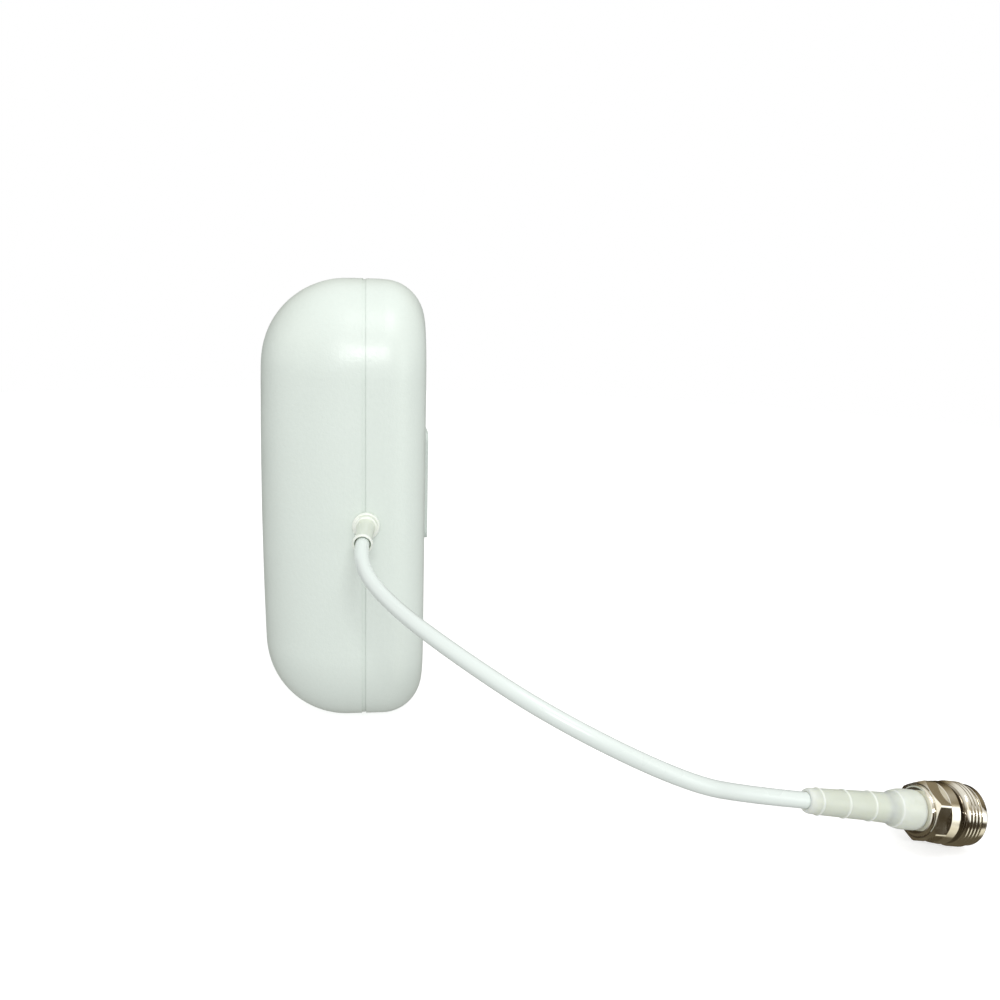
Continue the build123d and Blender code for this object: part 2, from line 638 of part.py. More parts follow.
# ------------------------------------------------------------------ free cable
def corner_radii(points):
    """Radius at each corner, as large as its two runs allow."""
    radii = []
    for before, corner, after in zip(points, points[1:], points[2:]):
        arriving = corner - before
        leaving = after - corner
        half_turn = math.radians(arriving.get_angle(leaving)) / 2
        longest_cut = CORNER_SHARE * min(arriving.length, leaving.length)
        radii.append(longest_cut / math.tan(half_turn))
    return radii


def coax_cable():
    return tube(FilletPolyline(*ROUTE, radius=corner_radii(ROUTE)), CABLE_RADIUS)


NODES = {
    "front_cover": front_cover,
    "rear_cover": rear_cover,
    "housing_screws": housing_screws,
    "wall_bracket": wall_bracket,
    "reflector_plate": reflector_plate,
    "reflector_screws": reflector_screws,
    "driven_patch": lambda: patch(DRIVEN_X, DRIVEN_HALF),
    "director_patch": lambda: patch(DIRECTOR_X, DIRECTOR_HALF),
    "rear_spacers": lambda: columns(DRIVEN_X, PLATE_X),
    "front_spacers": lambda: columns(DIRECTOR_X, DRIVEN_X - SHEET),
    "patch_screws": column_screws,
    "patch_nuts": column_nuts,
    "inner_cable": inner_cable,
    "coax_braid": coax_braid,
    "coax_dielectric": coax_dielectric,
    "coax_core": coax_core,
    "cable_clamp": cable_clamp,
    "clamp_screws": clamp_screws,
    "feed_strip": feed_strip,
    "cable_grommet": cable_grommet,
    "coax_cable": coax_cable,
    "cable_tail": cable_tail,
    "strain_relief_boot": strain_relief_boot,
    "crimp_ferrule": crimp_ferrule,
    "clamp_ring": clamp_ring,
    "connector_body": connector_body,
    "connector_insulator": connector_insulator,
    "centre_contact": centre_contact,
    "pigtail_dielectric": pigtail_dielectric,
}

for node, make in NODES.items():
    save(node, make())
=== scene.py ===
import json
import math

import bmesh
import bpy
from mathutils import Matrix, Vector, noise


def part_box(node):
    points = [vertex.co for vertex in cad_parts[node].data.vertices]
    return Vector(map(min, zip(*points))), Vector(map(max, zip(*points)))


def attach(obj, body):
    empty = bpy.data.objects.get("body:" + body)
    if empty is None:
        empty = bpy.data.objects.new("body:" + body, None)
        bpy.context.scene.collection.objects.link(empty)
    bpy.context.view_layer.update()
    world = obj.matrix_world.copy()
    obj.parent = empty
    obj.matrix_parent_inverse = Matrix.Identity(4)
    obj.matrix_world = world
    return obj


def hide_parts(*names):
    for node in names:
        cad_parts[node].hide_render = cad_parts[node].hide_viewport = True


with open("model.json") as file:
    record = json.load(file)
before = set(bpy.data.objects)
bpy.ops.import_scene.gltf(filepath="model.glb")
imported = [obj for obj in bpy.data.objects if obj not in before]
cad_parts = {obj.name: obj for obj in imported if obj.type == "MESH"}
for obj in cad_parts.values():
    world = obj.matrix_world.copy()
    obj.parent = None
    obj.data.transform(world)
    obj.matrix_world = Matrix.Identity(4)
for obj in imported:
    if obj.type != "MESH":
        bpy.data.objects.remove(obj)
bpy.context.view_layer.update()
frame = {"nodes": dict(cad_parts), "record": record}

# Panel antenna of a signal booster kit with its coaxial pigtail. Metres, in the frame of the packed
# model: +X is the wall side, -Y the side that the cable leaves, +Z up. Sizes of small turned details
# are in millimetres and pass through MM.
MM = 0.001

# ---------------------------------------------------------------- connector, stations in millimetres
MOUNTS = {mount["name"]: mount for mount in frame["record"]["mounts"]}
THREAD_START = 9.6
THREAD_PITCH = 25.4 / 24
THREAD_TURNS = 4
THREAD_END = THREAD_START + THREAD_TURNS * THREAD_PITCH
THREAD_RADIUS = MOUNTS["n_jack"]["dims"]["r_mm"]
AXIS = Vector(MOUNTS["n_jack"]["axis"]).normalized()
SEAT = Vector(MOUNTS["n_jack"]["pos_m"]) - AXIS * (THREAD_START + THREAD_END) / 2 * MM
SIDEWAYS = AXIS.cross(Vector((0, 0, 1))).normalized()
UPRIGHT = AXIS.cross(SIDEWAYS)
HEX_CLOCK = 22.5

# ---------------------------------------------------------------- free cable
# It leaves the grommet in line with its sleeve, droops, swings round and enters the boot on its axis.
NEAR_FACE_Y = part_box("front_cover")[0].y
KNEE = Vector((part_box("front_cover")[1].x, NEAR_FACE_Y, 0.067))
MOUTH = Vector((0.0049, -0.0924, 0.0647))
SLEEVE_AXIS = (MOUTH - KNEE).normalized()
ROUTE = [
    MOUTH,
    MOUTH + SLEEVE_AXIS * 0.012,
    Vector((0.0109, -0.1210, 0.0578)),
    Vector((0.0239, -0.1415, 0.0533)),
    Vector((0.0459, -0.1615, 0.0440)),
    Vector((0.0759, -0.1650, 0.0292)),
    SEAT - AXIS * 0.048,
    SEAT - AXIS * 0.028,
]
CABLE_DIAMETER = 0.0039


# ---------------------------------------------------------------- materials
class Paint:
    """A Principled material whose texture nodes are added one call at a time."""

    def __init__(self, name, colour, roughness, **sockets):
        self.material = bpy.data.materials.new(name)
        self.material.use_nodes = True
        self.nodes = self.material.node_tree.nodes
        self.links = self.material.node_tree.links
        self.shader = self.nodes["Principled BSDF"]
        self.colour = colour
        self.roughness = roughness
        self.normal = None
        self.set("Base Color", (*colour, 1))
        self.set("Roughness", roughness)
        for socket, value in sockets.items():
            self.set(socket.replace("_", " "), value)
        self.place = self.nodes.new("ShaderNodeTexCoord").outputs["Object"]

    def set(self, socket, value):
        self.shader.inputs[socket].default_value = value

    def soak(self, weight, depth, radius):
        """Lets light into the material down to about depth metres."""
        self.set("Subsurface Weight", weight)
        self.set("Subsurface Scale", depth)
        self.set("Subsurface Radius", radius)

    def noise(self, size, detail=2.0, stretch=(1, 1, 1)):
        """Noise whose features are about size metres across."""
        mapping = self.nodes.new("ShaderNodeMapping")
        mapping.inputs["Scale"].default_value = [factor / size for factor in stretch]
        texture = self.nodes.new("ShaderNodeTexNoise")
        texture.inputs["Scale"].default_value = 1.0
        texture.inputs["Detail"].default_value = detail
        self.links.new(self.place, mapping.inputs["Vector"])
        self.links.new(mapping.outputs["Vector"], texture.inputs["Vector"])
        return texture.outputs["Fac"]

    def spread(self, source, low, high):
        """Maps the middle of a noise's range to low and high."""
        ramp = self.nodes.new("ShaderNodeMapRange")
        ramp.inputs["From Min"].default_value = 0.3
        ramp.inputs["From Max"].default_value = 0.7
        ramp.inputs["To Min"].default_value = low
        ramp.inputs["To Max"].default_value = high
        self.links.new(source, ramp.inputs["Value"])
        return ramp.outputs["Result"]

    def tint(self, source, other):
        """Mixes the colour so far towards other by source."""
        mix = self.nodes.new("ShaderNodeMix")
        mix.data_type = "RGBA"
        old = self.shader.inputs["Base Color"]
        if old.is_linked:
            self.links.new(old.links[0].from_socket, mix.inputs["A"])
        else:
            mix.inputs["A"].default_value = (*self.colour, 1)
        mix.inputs["B"].default_value = (*other, 1)
        self.links.new(source, mix.inputs["Factor"])
        self.links.new(mix.outputs["Result"], old)

    def mottle(self, size, amount, other):
        """Patches of another colour, up to amount of it, about size metres across."""
        self.tint(self.spread(self.noise(size, 3.0), 0.0, amount), other)

    def gloss(self, size, change):
        """Lets the roughness wander by change either way."""
        wandering = self.spread(self.noise(size, 3.0), self.roughness - change, self.roughness + change)
        self.links.new(wandering, self.shader.inputs["Roughness"])

    def bump(self, source, depth):
        """Adds a relief of depth metres to the ones so far."""
        bump = self.nodes.new("ShaderNodeBump")
        bump.inputs["Strength"].default_value = 1.0
        bump.inputs["Distance"].default_value = depth
        self.links.new(source, bump.inputs["Height"])
        if self.normal:
            self.links.new(self.normal, bump.inputs["Normal"])
        self.normal = bump.outputs["Normal"]
        self.links.new(self.normal, self.shader.inputs["Normal"])

    def grain(self, size, depth, detail=2.0, stretch=(1, 1, 1)):
        self.bump(self.noise(size, detail, stretch), depth)

    def along_axis(self):
        """Distance along the connector's axis, in millimetres."""
        dot = self.nodes.new("ShaderNodeVectorMath")
        dot.operation = "DOT_PRODUCT"
        dot.inputs[1].default_value = AXIS / MM
        self.links.new(self.place, dot.inputs[0])
        return dot.outputs["Value"]

    def lathe_marks(self, spacing, depth):
        """Fine turned rings about the connector's axis."""
        combine = self.nodes.new("ShaderNodeCombineXYZ")
        self.links.new(self.along_axis(), combine.inputs["X"])
        texture = self.nodes.new("ShaderNodeTexNoise")
        texture.inputs["Scale"].default_value = 1 / spacing
        texture.inputs["Detail"].default_value = 3.0
        self.links.new(combine.outputs["Vector"], texture.inputs["Vector"])
        self.bump(texture.outputs["Fac"], depth)

    def attribute(self, name):
        node = self.nodes.new("ShaderNodeAttribute")
        node.attribute_name = name
        return node.outputs["Fac"]


def shell_plastic():
    """Off-white spark-textured moulding of the housing."""
    paint = Paint("shell_plastic", (0.740, 0.813, 0.757), 0.35)
    paint.mottle(0.030, 0.5, (0.725, 0.793, 0.735))
    paint.mottle(0.0012, 0.35, (0.700, 0.772, 0.716))
    paint.gloss(0.012, 0.05)
    paint.grain(0.0011, 0.000050, 1.0)
    paint.grain(0.00042, 0.000034, 2.0)
    return paint.material


def bracket_plastic():
    paint = Paint("bracket_plastic", (0.640, 0.700, 0.665), 0.48)
    paint.mottle(0.020, 0.5, (0.610, 0.675, 0.640))
    paint.gloss(0.008, 0.06)
    paint.grain(0.0006, 0.000025)
    return paint.material


def grommet_vinyl():
    """Creamy soft vinyl, with painted highlights along its rims."""
    paint = Paint("grommet_vinyl", (0.700, 0.755, 0.650), 0.36)
    paint.soak(0.2, 0.002, (1.0, 1.0, 0.8))
    paint.mottle(0.004, 0.5, (0.670, 0.725, 0.615))
    # painted highlights: paler colour along the rounded rims where light catches them
    paint.tint(paint.attribute("painted_light"), (0.880, 0.920, 0.850))
    paint.gloss(0.003, 0.05)
    paint.grain(0.0010, 0.00003)
    return paint.material


def cable_jacket():
    """Glossy white jacket, slightly uneven from extrusion."""
    paint = Paint("cable_jacket", (0.765, 0.830, 0.795), 0.28, Coat_Weight=0.2, Coat_Roughness=0.15)
    paint.mottle(0.025, 0.5, (0.745, 0.810, 0.775))
    paint.gloss(0.020, 0.02)
    paint.grain(0.0007, 0.000004, 1.0)
    return paint.material


def boot_polymer():
    """Milky translucent polymer, with painted highlights along its ridges and painted light at its thin
    mouth.
    """
    paint = Paint("boot_polymer", (0.640, 0.685, 0.590), 0.38)
    paint.soak(0.55, 0.003, (1.0, 0.95, 0.75))
    paint.mottle(0.006, 0.7, (0.600, 0.640, 0.540))
    # painted light: highlights along the ridges, light through the thin mouth, and a paler flare
    paint.tint(paint.attribute("painted_light"), (0.830, 0.870, 0.800))
    paint.gloss(0.004, 0.06)
    paint.grain(0.0030, 0.00012, 1.0)
    paint.grain(0.0006, 0.00002)
    return paint.material


def nickel_plate():
    """Bright turned brass with a warm nickel plate, with a painted dark reflection in the band behind the
    thread.
    """
    paint = Paint("nickel_plate", (0.840, 0.815, 0.745), 0.12, Metallic=1.0)
    paint.mottle(0.004, 0.6, (0.760, 0.715, 0.610))
    # painted reflection: the band behind the thread is darkened as if it mirrored the dim room
    paint.tint(paint.attribute("painted_reflection_band"), (0.300, 0.265, 0.210))
    paint.gloss(0.003, 0.04)
    paint.lathe_marks(0.16, 0.000005)
    return paint.material


def metal(name, colour, darker, roughness, grain_size, grain_depth, stretch=(1, 1, 1)):
    paint = Paint(name, colour, roughness, Metallic=1.0)
    paint.mottle(grain_size * 8, 0.7, darker)
    paint.gloss(grain_size * 5, 0.06)
    paint.grain(grain_size, grain_depth, 3.0, stretch)
    return paint.material


def plain_polymer(name, colour, darker, roughness, **sockets):
    paint = Paint(name, colour, roughness, **sockets)
    paint.mottle(0.004, 0.6, darker)
    paint.gloss(0.003, 0.05)
    paint.grain(0.0005, 0.00002)
    return paint.material


MATERIALS = {
    "housing_shell": shell_plastic(),
    "bracket_plastic": bracket_plastic(),
    "grommet_vinyl": grommet_vinyl(),
    "cable_jacket": cable_jacket(),
    "boot_polymer": boot_polymer(),
    "nickel_plate": nickel_plate(),
    "gold_contact": metal("gold_contact", (0.86, 0.62, 0.26), (0.74, 0.50, 0.18), 0.24, 0.0004, 0.00001),
    "ptfe": plain_polymer("ptfe", (0.85, 0.86, 0.84), (0.80, 0.81, 0.79), 0.42, Subsurface_Weight=0.2),
    "sheet_aluminium": metal(
        "sheet_aluminium", (0.78, 0.79, 0.80), (0.70, 0.71, 0.73), 0.34, 0.0006, 0.00002, (1, 0.05, 1)
    ),
    "zinc_steel": metal("zinc_steel", (0.66, 0.68, 0.70), (0.55, 0.56, 0.54), 0.30, 0.0004, 0.00002),
    "nylon": plain_polymer("nylon", (0.80, 0.79, 0.73), (0.75, 0.74, 0.67), 0.40, Subsurface_Weight=0.2),
    "brass_strip": metal("brass_strip", (0.80, 0.62, 0.30), (0.66, 0.48, 0.22), 0.30, 0.0005, 0.00002),
    "tinned_braid": metal("tinned_braid", (0.70, 0.70, 0.69), (0.50, 0.50, 0.50), 0.38, 0.0003, 0.00006),
}


# ---------------------------------------------------------------- mesh helpers
def finished(name, builder, material, smooth_angle=35.0):
    """Object from a bmesh, welded, with outward normals and crisp edges kept crisp."""
    bmesh.ops.remove_doubles(builder, verts=builder.verts, dist=1e-7)
    bmesh.ops.dissolve_degenerate(builder, edges=builder.edges, dist=1e-8)
    bmesh.ops.recalc_face_normals(builder, faces=builder.faces)
    mesh = bpy.data.meshes.new(name)
    builder.to_mesh(mesh)
    builder.free()
    mesh.shade_smooth()
    mesh.set_sharp_from_angle(angle=math.radians(smooth_angle))
    piece = bpy.data.objects.new(name, mesh)
    bpy.context.collection.objects.link(piece)
    mesh.materials.append(material)
    weighted = piece.modifiers.new("weighted_normals", "WEIGHTED_NORMAL")
    weighted.keep_sharp = True
    return piece


def skin(builder, rings, shift=0):
    """Quads between neighbouring rings.

    In a helix, the end of each ring meets the start of the ring that is shift rows further on.
    Past the last ring such a quad shrinks to a triangle or a line, and it is left out.
    """
    last = len(rings) - 1
    count = len(rings[0])
    for row in range(last):
        for column in range(count):
            if column < count - 1:
                low, high, after = row, row + 1, column + 1
            else:
                low, high, after = min(row + shift, last), min(row + 1 + shift, last), 0
            corners = [rings[row][column], rings[low][after], rings[high][after], rings[row + 1][column]]
            if len(set(corners)) == 4:
                builder.faces.new(corners)


CORNER_SHARE = 0.4  # part of a side that the curve at either end of it may take
TURNED_SIDES = 96
RIPPLE_PITCH = 0.35  # turns of the ripple's noise per millimetre along the axis
RIPPLE_ROUND = 1.3


def softened(profile, reach, steps=3):
    """Closed profile with each corner turned into a small curve."""
    points = []
    for index, point in enumerate(profile):
        corner = Vector(point)
        back = Vector(profile[index - 1]) - corner
        ahead = Vector(profile[(index + 1) % len(profile)]) - corner
        cut = min(reach, CORNER_SHARE * back.length, CORNER_SHARE * ahead.length)
        start = corner + back.normalized() * cut
        end = corner + ahead.normalized() * cut
        for step in range(steps + 1):
            t = step / steps
            points.append(start * (1 - t) ** 2 + corner * 2 * t * (1 - t) + end * t**2)
    return points


def at_connector(s, radius, angle):
    """Point from a station and a radius in millimetres and an angle about the connector's axis."""
    around = SIDEWAYS * math.cos(angle) + UPRIGHT * math.sin(angle)
    return SEAT + (AXIS * s + around * radius) * MM


def evenly(count):
    return [2 * math.pi * index / count for index in range(count)]


def mark_vertices(piece, name, value_at):
    """Writes a float per vertex that a material reads through its attribute."""
    layer = piece.data.attributes.new(name, "FLOAT", "POINT")
    for vertex, value in zip(piece.data.vertices, layer.data):
        value.value = value_at(vertex.co)


def station(place):
    """Station of a point on the connector, in millimetres."""
    return (place - SEAT).dot(AXIS) / MM


def turned(name, profile, material, reach, ripple=0.0):
    """Solid of revolution about the connector's axis from a closed (station, radius) profile."""
    builder = bmesh.new()
    rings = []
    for s, radius in softened(profile, reach):
        ring = []
        for angle in evenly(TURNED_SIDES):
            around = (RIPPLE_ROUND * math.cos(angle), RIPPLE_ROUND * math.sin(angle))
            wobble = noise.noise((s * RIPPLE_PITCH, *around)) * ripple
            ring.append(builder.verts.new(at_connector(s, radius * (1 + wobble), angle)))
        rings.append(ring)
    skin(builder, [*rings, rings[0]])
    return finished(name, builder, material)


# ---------------------------------------------------------------- cable
def free_cable():
    curve = bpy.data.curves.new("free_cable", "CURVE")
    curve.dimensions = "3D"
    curve.bevel_depth = CABLE_DIAMETER / 2
    curve.bevel_resolution = 10
    curve.resolution_u = 24
    curve.use_fill_caps = True
    spline = curve.splines.new("NURBS")
    spline.points.add(len(ROUTE) - 1)
    for point, place in zip(spline.points, ROUTE):
        point.co = (*place, 1)
    spline.order_u = 3
    spline.use_endpoint_u = True
    piece = bpy.data.objects.new("free_cable", curve)
    bpy.context.collection.objects.link(piece)
    curve.materials.append(MATERIALS["cable_jacket"])
    return piece


# ---------------------------------------------------------------- grommet
GROMMET_FLANGE_RADIUS = 3.95
GROMMET_STEP_RADIUS = 3.15
GROMMET_SLEEVE_RADIUS = 2.42
GROMMET_LIP_RADIUS = 2.88
GROMMET_MOUTH_BORE = 2.35
GROMMET_BORE = 2.1
GROMMET_SIDES = 72
# Reach, depth and strength of the painted highlights on the grommet's rims
GROMMET_RIM_REACH = 0.8
GROMMET_RIM_DEPTH = 0.5
GROMMET_RIM_HIGHLIGHT = 0.8


def grommet():
    """Flange against the wall, a raised step, and a drooping sleeve with a rolled lip."""
    out = Vector((0, -1, 0))
    reach = (MOUTH - KNEE).length / MM

    # Each row is distance out from the wall along the axis, radius, and how far it has turned
    # from square with the wall (0) to square with the sleeve (1). All lengths in millimetres.
    flange = GROMMET_FLANGE_RADIUS
    step = GROMMET_STEP_RADIUS
    sleeve = GROMMET_SLEEVE_RADIUS
    lip = GROMMET_LIP_RADIUS
    rows = [(-2.4, step - 0.2, 0), (0.0, step - 0.2, 0), (0.0, flange - 0.12, 0), (0.12, flange, 0)]
    rows += [(0.75, flange, 0), (1.02, flange - 0.10, 0), (1.22, flange - 0.32, 0), (1.3, flange - 0.6, 0)]
    rows += [(1.3, step + 0.12, 0), (1.42, step, 0), (2.0, step, 0.1), (2.14, step - 0.06, 0.15)]
    rows += [(2.24, step - 0.2, 0.2), (2.3, sleeve + 0.12, 0.3), (2.5, sleeve + 0.02, 0.6)]
    rows += [(3.2, sleeve, 1), (6.0, sleeve, 1), (9.0, sleeve + 0.05, 1), (reach - 1.6, sleeve + 0.12, 1)]
    rows += [(reach - 1.35, sleeve + 0.18, 1), (reach - 1.1, lip - 0.06, 1), (reach - 0.7, lip, 1)]
    rows += [(reach - 0.3, lip - 0.02, 1), (reach - 0.08, lip - 0.14, 1), (reach, lip - 0.30, 1)]
    rows += [(reach - 0.06, GROMMET_MOUTH_BORE + 0.04, 1), (reach - 0.25, GROMMET_MOUTH_BORE - 0.08, 1)]
    rows += [(reach - 1.2, GROMMET_BORE, 1), (3.2, GROMMET_BORE, 1), (-2.4, GROMMET_BORE, 0)]

    builder = bmesh.new()
    rings = []
    for distance, radius, turn in rows:
        facing = out.lerp(SLEEVE_AXIS, turn).normalized()
        straight = KNEE + out * distance * MM
        drooped = KNEE + SLEEVE_AXIS * distance * MM
        centre = straight.lerp(drooped, turn)
        side = facing.cross(Vector((0, 0, 1))).normalized()
        upright = facing.cross(side)
        ring = []
        for angle in evenly(GROMMET_SIDES):
            around = side * math.cos(angle) + upright * math.sin(angle)
            ring.append(builder.verts.new(centre + around * radius * MM))
        rings.append(ring)
    skin(builder, [*rings, rings[0]])
    piece = finished("grommet", builder, MATERIALS["grommet_vinyl"])
    rims = [(KNEE + out * 0.8 * MM, flange), (KNEE + out * 1.8 * MM, step)]
    rims.append((MOUTH - SLEEVE_AXIS * 0.4 * MM, lip))

    # Painted highlight: full strength near the flange, step and lip rims, none elsewhere.
    def painted_light_strength(place):
        for centre, radius in rims:
            along = abs((place - centre).dot(SLEEVE_AXIS)) / MM
            off_rim = radius - (place - centre).length / MM
            if along < GROMMET_RIM_REACH and off_rim < GROMMET_RIM_DEPTH:
                return GROMMET_RIM_HIGHLIGHT
        return 0.0

    mark_vertices(piece, "painted_light", painted_light_strength)
    return piece


# ---------------------------------------------------------------- connector pieces
BOOT_LENGTH = 33.0
RIDGES = (-29.7, -22.1, -14.5)
FLARE_RIDGE = -7.0
RIDGE_HEIGHT = 0.20
RIDGE_HALF_WIDTH = 0.32
BOOT_BORE = 2.0
FERRULE_RADIUS = 3.3
FERRULE_LENGTH = 10.0
# Reach and strength of the boot's painted highlights and painted light
RIDGE_HIGHLIGHT_REACH = 0.45
MOUTH_LIGHT_REACH = 3.0
MOUTH_PAINTED_LIGHT = 0.6
FLARE_PAINTED_LIGHT = 0.35


def boot():
    """Ribbed sleeve, thin at the cable and flared over the crimp."""
    outer = [(-BOOT_LENGTH, 2.35), (-BOOT_LENGTH + 0.35, 2.75), (-BOOT_LENGTH + 1.0, 3.0)]
    for index, ridge in enumerate(RIDGES):
        before = 3.05 + 0.2 * index
        after = before + 0.05
        outer += [(ridge - RIDGE_HALF_WIDTH, before), (ridge - 0.1, before + RIDGE_HEIGHT)]
        outer += [(ridge + 0.1, after + RIDGE_HEIGHT), (ridge + RIDGE_HALF_WIDTH, after)]
    outer += [(-9.2, 3.66), (-8.0, 3.90), (-7.3, 4.16), (-7.1, 4.42), (-6.85, 4.46), (-6.2, 4.62)]
    outer += [(-5.3, 4.8), (-4.0, 4.88), (-1.0, 4.88), (0.0, 4.7)]
    inner = [(0.0, FERRULE_RADIUS), (-FERRULE_LENGTH, FERRULE_RADIUS)]
    inner += [(-FERRULE_LENGTH, BOOT_BORE), (-BOOT_LENGTH, BOOT_BORE)]
    piece = turned("ribbed_boot", outer + inner, MATERIALS["boot_polymer"], 0.25, ripple=0.012)

    # Painted highlights at the ridges, painted light at the thin mouth and over the flare.
    def painted_light_strength(place):
        s = station(place)
        nearest = min(abs(s - ridge) for ridge in (*RIDGES, FLARE_RIDGE))
        at_ridge = max(0.0, 1 - nearest / RIDGE_HIGHLIGHT_REACH)
        at_mouth = max(0.0, 1 - (s + BOOT_LENGTH) / MOUTH_LIGHT_REACH) * MOUTH_PAINTED_LIGHT
        on_flare = FLARE_PAINTED_LIGHT if s > FLARE_RIDGE + 0.5 else 0.0
        return max(at_ridge, at_mouth, on_flare)

    mark_vertices(piece, "painted_light", painted_light_strength)
    return piece


HEX_FLATS = 13.4
HEX_ROUNDING = 7.6
HEX_START = 0.8
HEX_END = 4.8
HEX_CHAMFER_RADIUS = 6.6
HEX_CHAMFER_SLOPE = 0.7
HEX_CORNER_STEPS = 18
COLLAR_RADIUS = 7.4
COLLAR_FLARE = 0.22
BAND_START = 7.45
BAND_END = 9.3
THREAD_DEPTH = 0.5
THREAD_RUNOUT = 1.6
LIP_START = 14.5
LIP_RADIUS = 7.5
LIP_END = 16.4
SOCKET_RADIUS = 4.05
SOCKET_FLOOR = 2.5
CONTACT_HOLE_RADIUS = 1.6

# One turn of the thread, as part of the pitch and part of the depth.
THREAD_SHAPE = [(0.0, 0.0), (0.12, 0.0), (0.16, 0.06), (0.38, 0.94)]
THREAD_SHAPE += [(0.42, 1.0), (0.72, 1.0), (0.76, 0.94), (0.98, 0.06)]


def hexagon_angles():
    """Angles that meet the hexagon's rounded corners exactly."""
    land = math.acos(HEX_FLATS / 2 / HEX_ROUNDING)
    half = math.pi / 6
    angles = []
    for side in range(6):
        middle = math.radians(HEX_CLOCK) + (2 * side + 1) * half
        for step in range(HEX_CORNER_STEPS + 1):
            angles.append(middle - land + 2 * land * step / HEX_CORNER_STEPS)
        angles.append(middle + half)
    return angles


def hexagon_radius(angle):
    """Distance of the hexagon's surface from its axis, corners turned down to a circle."""
    half = math.pi / 6
    off = (angle - math.radians(HEX_CLOCK)) % (2 * half) - half
    return min(HEX_FLATS / 2 / math.cos(off), HEX_ROUNDING)


def thread_rings(builder, angles, root):
    """Rings of a true helix between THREAD_START and THREAD_END, with its ends cut square."""
    per_turn = len(THREAD_SHAPE)
    rings = []
    for index in range(-per_turn, per_turn * THREAD_TURNS + 1):
        turn, part = divmod(index, per_turn)
        along, height = THREAD_SHAPE[part]
        ring = []
        for angle in angles:
            lead = (angle - angles[0]) / (2 * math.pi)
            s = THREAD_START + (turn + along + lead) * THREAD_PITCH
            radius = root + (THREAD_RADIUS - root) * height
            allowed = root + THREAD_RUNOUT * min(s - THREAD_START, THREAD_END - s)
            radius = max(root, min(radius, allowed))
            s = min(max(s, THREAD_START), THREAD_END)
            ring.append(builder.verts.new(at_connector(s, radius, angle)))
        rings.append(ring)
    return rings


def connector_shell():
    """Hexagon, collar, threaded barrel and front lip with the socket's bore, as one skin."""
    builder = bmesh.new()
    angles = hexagon_angles()

    def ring(s, radius):
        return [builder.verts.new(at_connector(s, radius, angle)) for angle in angles]

    def hexagon_ring(s):
        return [builder.verts.new(at_connector(s, hexagon_radius(angle), angle)) for angle in angles]

    def chamfer_edge(s):
        """Ring where a cone from the given station meets the hexagon's sides."""
        points = []
        for angle in angles:
            radius = hexagon_radius(angle)
            rise = max(0.0, radius - HEX_CHAMFER_RADIUS) * HEX_CHAMFER_SLOPE
            points.append(builder.verts.new(at_connector(s + rise, radius, angle)))
        return points

    root = THREAD_RADIUS - THREAD_DEPTH
    back = [ring(HEX_START, CONTACT_HOLE_RADIUS), ring(HEX_START, HEX_CHAMFER_RADIUS)]
    back += [chamfer_edge(HEX_START), hexagon_ring(HEX_END - 0.06)]
    back += [ring(HEX_END, HEX_FLATS / 2 - 0.02), ring(HEX_END, COLLAR_RADIUS - 0.1)]
    flared = COLLAR_RADIUS + COLLAR_FLARE
    profile = [(HEX_END + 0.1, COLLAR_RADIUS), (HEX_END + 0.2, COLLAR_RADIUS + 0.02)]
    profile += [(BAND_START - 0.3, flared), (BAND_START - 0.2, flared + 0.01)]
    profile += [(BAND_START - 0.1, flared), (BAND_START, flared - 0.02)]
    profile += [(BAND_END - 0.2, 7.26), (BAND_END - 0.1, 7.24), (BAND_END, 7.2), (THREAD_START, root)]
    skin(builder, back + [ring(s, radius) for s, radius in profile])
    skin(builder, thread_rings(builder, angles, root), len(THREAD_SHAPE))
    profile = [(THREAD_END, root), (13.95, 7.1), (14.2, 7.05), (LIP_START - 0.06, 7.1)]
    profile += [(LIP_START, LIP_RADIUS - 0.08), (LIP_START + 0.1, LIP_RADIUS), (LIP_END - 0.45, LIP_RADIUS)]
    profile += [(LIP_END - 0.3, LIP_RADIUS - 0.04), (LIP_END - 0.12, LIP_RADIUS - 0.2)]
    profile += [(LIP_END, LIP_RADIUS - 0.45), (LIP_END, SOCKET_RADIUS + 0.25)]
    profile += [(LIP_END - 0.08, SOCKET_RADIUS + 0.07), (LIP_END - 0.25, SOCKET_RADIUS)]
    profile += [(SOCKET_FLOOR, SOCKET_RADIUS), (SOCKET_FLOOR, CONTACT_HOLE_RADIUS)]
    skin(builder, [ring(s, radius) for s, radius in profile] + [back[0]])
    piece = finished("connector_shell", builder, MATERIALS["nickel_plate"], 30.0)

    # Painted reflection: vertices in the band between collar and thread get full strength, which darkens
    # their colour.
    def painted_reflection_at(place):
        return 1.0 if BAND_START - 0.02 < station(place) < BAND_END + 0.02 else 0.0

    mark_vertices(piece, "painted_reflection_band", painted_reflection_at)
    return piece


def back_ring():
    profile = [(0.0, 2.1), (0.0, 5.6), (0.12, 5.95), (0.5, 6.2), (0.78, 6.2), (0.8, 2.1)]
    return turned("back_ring", profile, MATERIALS["nickel_plate"], 0.08)


# ---------------------------------------------------------------- pieces on their bodies
def dress_cad_nodes():
    """Gives every carried-over node its procedural material."""
    slots = {sub["node"]: sub["material_slot"] for sub in frame["record"]["subparts"]}
    for name, node in frame["nodes"].items():
        for slot in node.material_slots:
            slot.material = MATERIALS[slots[name]]


